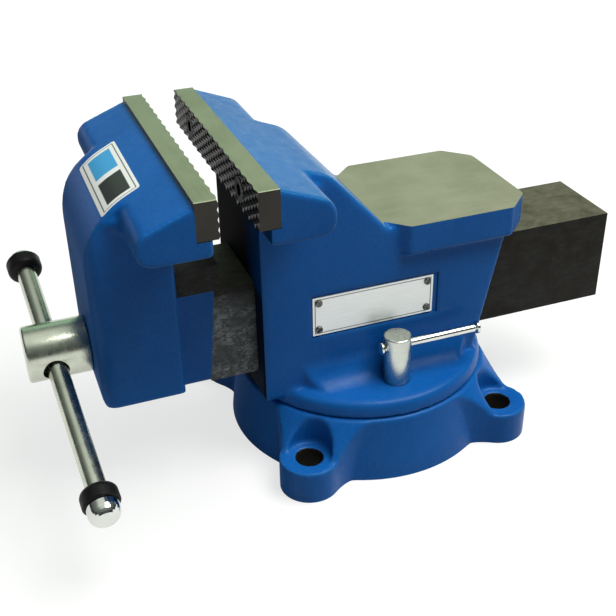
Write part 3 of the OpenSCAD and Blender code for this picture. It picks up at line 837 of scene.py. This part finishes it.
def build_plate(name, node, body, face, back, depth=0.85, columns=33, rows=8):
    """Jaw plate whose gripping face is cut into pyramids."""
    inward = math.copysign(1.0, back - face)
    at, rim = grid_at(columns), grid_rim(columns, rows)
    verts, faces = [], []
    for j in range(rows + 1):
        for i in range(columns + 1):
            x = -PLATE_HALF + 2 * PLATE_HALF * i / columns
            z = PLATE_LOW + (PLATE_TOP - PLATE_LOW) * j / rows
            verts.append((x, face + inward * (0.0 if (i + j) % 2 == 0 else depth), z))
    for j in range(rows):
        for i in range(columns):
            a, b, c, d = at(i, j), at(i + 1, j), at(i + 1, j + 1), at(i, j + 1)
            faces += [(a, b, d), (b, c, d)] if (i + j) % 2 == 0 else [(a, b, c), (a, c, d)]
    first, n = len(verts), len(rim)
    verts += [(verts[k][X], back, verts[k][Z]) for k in rim]
    faces += [(rim[k], rim[(k + 1) % n], first + (k + 1) % n, first + k) for k in range(n)]
    faces.append(tuple(range(first, first + n)))
    obj = from_lists(name, verts, faces)
    round_corners(obj)
    low, high = min(face, back) - 1, max(face, back) + 1
    carve(obj, [bore(x, low, high) for x in (-PLATE_SCREW_X, PLATE_SCREW_X)])
    shade(obj, 10)
    place(obj, body, "plate_steel", PLATE_SIDE_SHADE, SERRATED, PLATE_STEEL, replaces=[node])

    def gripping(p, n):
        return (np.abs(p[:, Y] - face) < depth + 0.2) & (np.abs(n[:, Y]) > 0.2)

    face_material(obj, gripping, 1)
    face_material(obj, lambda p, n: n[:, Z] > 0.5, 2)


# Screw, spring and rivets


def build_screw(pitch=6.0, major=10.95, minor=8.3, steps=40, tip=1.5):
    head = node_copy("screw_head", "lead_screw")
    halve(head, (0, JOURNAL_END, 0), (0, 1, 0))
    shade(head)
    place(head, "screw", "bright_steel", SATIN, replaces=["lead_screw"])
    profile = [(minor, JOURNAL_END), (minor, SCREW_REAR - tip), (minor - tip, SCREW_REAR)]
    core = [[(r * c, y, SCREW_Z + r * s) for c, s in circle(64)] for r, y in profile]
    crest_half, root_half, sunk, run_out = 1.15, 2.2, minor - 0.3, 0.4 * steps
    start, end = JOURNAL_END + 0.2, SCREW_REAR - 3.0
    count = int(((end - start) / pitch - 0.9) * steps)
    rings = []
    for k in range(count + 1):
        a = 2 * math.pi * k / steps
        top = minor + (major - minor) * min(1.0, (count - k) / run_out)
        middle = start + 0.45 * pitch + pitch * k / steps
        section = [(sunk, -root_half), (top, -crest_half), (top, crest_half), (sunk, root_half)]
        rings.append(
            [(r * math.cos(a), middle + y, SCREW_Z + r * math.sin(a)) for r, y in section]
        )
    thread = joined("screw_thread", sweep(core), sweep(rings))
    shade(thread)
    place(thread, "screw", "bright_steel", ZINC)


def build_spring(wire=1.2, radius=13.45, turns=3.5, begin=-136.6, end=-122.2):
    steps = int(24 * turns)
    lead = (end - begin) / (2 * math.pi * turns)
    rings = []
    for k in range(steps + 1):
        a = 2 * math.pi * turns * k / steps
        c, s = math.cos(a), math.sin(a)
        out = Vector((c, 0.0, s))
        side = Vector((lead * s / radius, 1.0, -lead * c / radius)).normalized()
        centre = Vector((radius * c, begin + lead * a, SCREW_Z + radius * s))
        rings.append([tuple(centre + wire * (u * out + v * side)) for u, v in circle(12)])
    obj = joined("spring_coil", sweep(rings))
    shade(obj)
    place(obj, "screw", "spring_steel", SPRING, replaces=["retract_spring"])


def build_rivets(width=0.7, depth=0.6, head_r=2.1, turns=(35, 110, 150, 65)):
    """The nameplate's four rivets with a slot in each head."""
    obj = node_copy("slotted_rivets", "nameplate_rivets")
    low, high = (tuple(c / MM for c in corner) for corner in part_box("nameplate_rivets"))
    ys, zs = (low[Y] + head_r, high[Y] - head_r), (low[Z] + head_r, high[Z] - head_r)
    centres = [Vector((high[X], y, z)) for y in ys for z in zs]
    tools = []
    for centre, turn in zip(centres, turns):
        angle = math.radians(turn)
        along = Vector((0.0, math.cos(angle), math.sin(angle))) * (head_r + 0.5)
        across = Vector((0.0, -along.z, along.y)).normalized() * width / 2
        inward = Vector((depth, 0.0, 0.0))
        verts, faces = box_lists((-1, -1, -1), (1, 1, 1))
        shape = [tuple(centre + u * inward + v * along + w * across) for u, v, w in verts]
        tools.append(from_lists("slot", shape, faces))
    carve(obj, tools)
    shade(obj)
    place(obj, "body", "zinc", SPRING, replaces=["nameplate_rivets"])


# Label on the moving jaw's top


def build_label(jaw, columns=48, rows=24, corner=1.5, face=0.12, under=0.02, above=250.0):
    """Thin sheet laid on the paint by rays from above, with round corners."""
    tree = BVHTree.FromObject(jaw, bpy.context.evaluated_depsgraph_get())
    left, front, right, rear = LABEL_BOX
    verts, faces = [], []
    for layer in (face, under):
        for j in range(rows + 1):
            for i in range(columns + 1):
                x = left + (right - left) * i / columns
                y = front + (rear - front) * j / rows
                dx = max(left + corner - x, x - right + corner, 0.0)
                dy = max(front + corner - y, y - rear + corner, 0.0)
                over = math.hypot(dx, dy)
                if over > corner:
                    x += math.copysign(dx * (1 - corner / over), -x + left / 2 + right / 2)
                    y += math.copysign(dy * (1 - corner / over), -y + front / 2 + rear / 2)
                x += LABEL_SKEW * (rear - y) / (rear - front)
                ray = Vector((x, y, above)) * MM
                hit, normal, _, _ = tree.ray_cast(ray, Vector((0, 0, -1)))
                verts.append(tuple((hit + normal * layer * MM) / MM))
    n = (columns + 1) * (rows + 1)
    at, rim = grid_at(columns), grid_rim(columns, rows)
    for j in range(rows):
        for i in range(columns):
            quad = (at(i, j), at(i + 1, j), at(i + 1, j + 1), at(i, j + 1))
            faces += [quad, tuple(n + k for k in reversed(quad))]
    for k, here in enumerate(rim):
        after = rim[(k + 1) % len(rim)]
        faces.append((after, here, n + here, n + after))
    obj = from_lists("jaw_label", verts, faces)
    shade(obj)
    place(obj, "jaw", "plate_label", LABEL)


# Assembly


build_body()
jaw = build_jaw()
build_bar()
build_step()
build_base()
build_plate("fixed_plate", "fixed_jaw_plate", "body", FIXED_FACE, FIXED_SEAT)
build_plate("moving_plate", "moving_jaw_plate", "jaw", MOVING_FACE, MOVING_SEAT)
build_screw()
build_spring()
build_rivets()
build_label(jaw)

# Materials of the nodes that are shown as the CAD has them
FINISH = {
    ZINC: [
        "nut_bolt",
        "nut_bolt_washer",
        "spring_washer",
        "screw_collar",
        "lock_bolt_right",
        "lock_bolt_left",
    ],
    CHROME: [
        "collar_pin",
        "handle_cap_near",
        "handle_cap_far",
        "lock_lever_right",
        "lock_lever_left",
    ],
    SATIN: ["handle_bar"],
    BLACK: ["fixed_jaw_screws", "moving_jaw_screws"],
    RUBBER: ["handle_ring_near", "handle_ring_far"],
    IRON: ["main_nut", "lock_shoe_right", "lock_shoe_left"],
    NAMEPLATE: ["nameplate"],
}
for material, names in FINISH.items():
    for name in names:
        mesh = NODES[name].data
        mesh.materials.clear()
        mesh.materials.append(material)


# Floor, light and camera


def floor_material(near=(250.0, 0.70), far=(1600.0, 1.0)):
    """Pale floor that looks white to the camera and in reflections, and keeps its shadows."""
    s = Shader("floor")
    s.set(Base_Color=(0.34, 0.34, 0.34), Roughness=0.9, Specular_IOR_Level=0.1)
    path = s.new("ShaderNodeLightPath").outputs
    seen = s.math("ADD", path["Is Camera Ray"], path["Is Glossy Ray"])
    seen = s.math("MINIMUM", s.math("ADD", seen, path["Is Transmission Ray"]), 1.0)
    x, y = s.axis("X"), s.axis("Y")
    away = s.math("SQRT", s.math("ADD", s.times(x, x), s.times(y, y)))
    strength = s.times(seen, s.ramp(away, near[0], far[0], near[1], far[1]))
    glow, both = s.new("ShaderNodeEmission"), s.new("ShaderNodeAddShader")
    glow.inputs["Color"].default_value = (1.0, 1.0, 1.0, 1.0)
    s.link(strength, glow.inputs["Strength"])
    s.link(s.bsdf.outputs[0], both.inputs[0])
    s.link(glow.outputs[0], both.inputs[1])
    s.link(both.outputs[0], s.tree.nodes["Material Output"].inputs["Surface"])
    return s.material


def build_floor(radius=6000.0, wall=800.0, sides=96, drop=0.05):
    """Round floor with a low rim far away, so that the horizon is pale too."""
    rings = [[(radius * c, radius * s, z) for c, s in circle(sides)] for z in (-drop, wall)]
    verts, faces = sweep(rings)
    floor = from_lists("floor", verts, faces[:-1])
    floor.data.materials.append(floor_material())


def soft_box(name, place_m, aim_m, size, power, colour):
    lamp = bpy.data.lights.new(name, "AREA")
    lamp.shape = "RECTANGLE"
    lamp.size, lamp.size_y = size
    lamp.energy = power
    lamp.color = colour
    obj = bpy.data.objects.new(name, lamp)
    bpy.context.scene.collection.objects.link(obj)
    obj.location = place_m
    obj.rotation_euler = (Vector(aim_m) - Vector(place_m)).to_track_quat("-Z", "Y").to_euler()
    obj.visible_camera = False


def build_world():
    """A dim room with a brighter ceiling."""
    world = bpy.data.worlds.new("studio")
    world.use_nodes = True
    bpy.context.scene.world = world
    tree = world.node_tree
    room = tree.nodes["Background"]
    coords = tree.nodes.new("ShaderNodeTexCoord")
    split = tree.nodes.new("ShaderNodeSeparateXYZ")
    ramp = tree.nodes.new("ShaderNodeValToRGB")
    steps = ramp.color_ramp.elements
    steps[0].position, steps[0].color = 0.25, (0.035, 0.04, 0.04, 1.0)
    steps[1].position, steps[1].color = 0.95, (0.80, 0.84, 0.78, 1.0)
    steps.new(0.78).color = (0.22, 0.25, 0.23, 1.0)
    tree.links.new(coords.outputs["Generated"], split.inputs[0])
    tree.links.new(split.outputs["Z"], ramp.inputs[0])
    tree.links.new(ramp.outputs[0], room.inputs["Color"])


def build_camera():
    """Camera at the photograph's place, from its position, yaw, pitch and roll."""
    position = Vector((460.13, -199.81, 365.68)) * MM
    yaw, pitch, roll = 1.22089876, 0.541254122, -0.0201638144
    level = math.cos(pitch)
    ahead = Vector((-math.sin(yaw) * level, math.cos(yaw) * level, -math.sin(pitch)))
    right = ahead.cross(Vector((0, 0, 1))).normalized()
    up = right.cross(ahead)
    side = right * math.cos(roll) + up * math.sin(roll)
    top = up * math.cos(roll) - right * math.sin(roll)
    turn = Matrix((side, top, -ahead)).transposed().to_4x4()
    data = bpy.data.cameras.new("camera")
    data.sensor_width = SENSOR_MM
    data.lens = FOCAL_PX * SENSOR_MM / PICTURE_PX
    data.clip_start, data.clip_end = 0.01, 30.0
    camera = bpy.data.objects.new("camera", data)
    bpy.context.scene.collection.objects.link(camera)
    camera.matrix_world = Matrix.Translation(position) @ turn
    bpy.context.scene.camera = camera


build_floor()
build_world()
soft_box("key", (0.28, 0.45, 1.25), (0, 0, 0.1), (0.8, 0.8), 17.5, (0.99, 1.0, 0.96))
soft_box("back", (-1.4, 0.30, 0.75), (0, 0, 0.12), (1.6, 1.0), 2.6, (0.6, 1.0, 0.7))
build_camera()
bpy.context.scene.view_settings.view_transform = "Standard"
